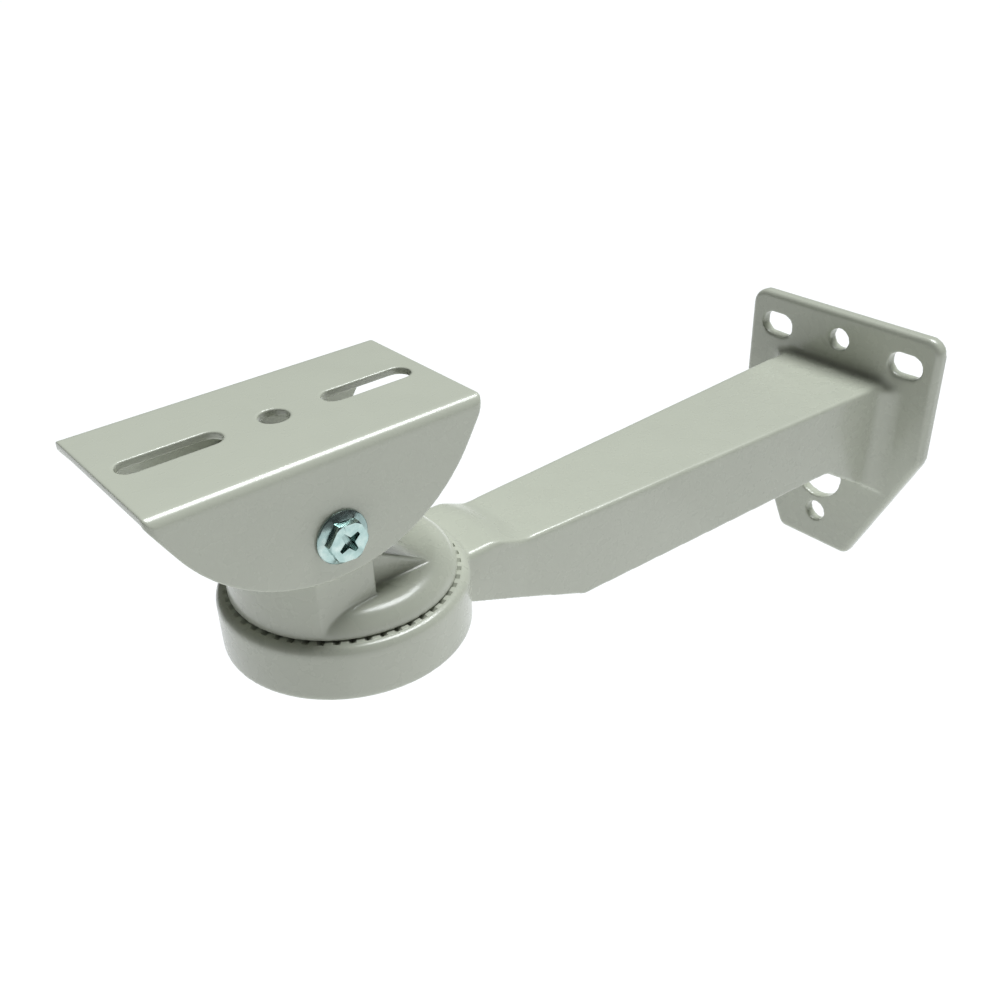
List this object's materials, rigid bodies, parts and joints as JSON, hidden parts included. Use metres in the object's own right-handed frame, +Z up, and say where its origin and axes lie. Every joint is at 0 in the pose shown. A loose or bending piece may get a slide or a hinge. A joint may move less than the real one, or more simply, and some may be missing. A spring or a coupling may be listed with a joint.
{
  "type": "camera wall bracket",
  "caption": "Wall bracket for a camera housing: a cast arm on a wall plate, a toothed swivel base that pans, and a slotted steel saddle that tilts.",
  "frame": {"origin": "centre of the wall plate's back face", "axes": "+Z up, +Y into the wall, +X to the right of someone who faces the wall; the arm reaches out along -Y"},
  "size_m": [0.087, 0.3007, 0.1461],
  "materials": {
    "enamel_casting": "semi-gloss warm grey enamel, baked on a casting, with a fine orange peel",
    "enamel_sheet": "semi-gloss warm grey enamel, baked on folded steel sheet",
    "zinc_plated": "bright blue-passivated zinc plating",
    "spring_steel": "plain zinc-plated spring steel, duller than the bolts"
  },
  "bodies": {
    "arm": {"wall_arm": "enamel_casting"},
    "swivel": {"swivel_base": "enamel_casting"},
    "pan_screw": {"pan_bolt": "zinc_plated", "pan_flat_washer": "zinc_plated", "pan_spring_washer": "spring_steel"},
    "saddle": {"saddle": "enamel_sheet", "tilt_flat_washer": "zinc_plated", "tilt_spring_washer": "spring_steel", "tilt_nut": "zinc_plated"},
    "tilt_screw": {"tilt_bolt": "zinc_plated"}
  },
  "joints": [
    {"name": "pan", "type": "hinge", "parent": "arm", "child": "swivel", "pos_m": [0, -0.24, 0], "axis": [0, 0, 1], "continuous": true},
    {"name": "tilt", "type": "hinge", "parent": "swivel", "child": "saddle", "pos_m": [0, -0.2543, 0.0698], "axis": [1, 0, 0], "range_deg": [-45, 60]},
    {"name": "pan_bolt_turn", "type": "hinge", "parent": "swivel", "child": "pan_screw", "pos_m": [0, -0.24, 0], "axis": [0, 0, 1], "continuous": true},
    {"name": "tilt_bolt_turn", "type": "hinge", "parent": "saddle", "child": "tilt_screw", "pos_m": [0, -0.2543, 0.0698], "axis": [1, 0, 0], "continuous": true}
  ]
}
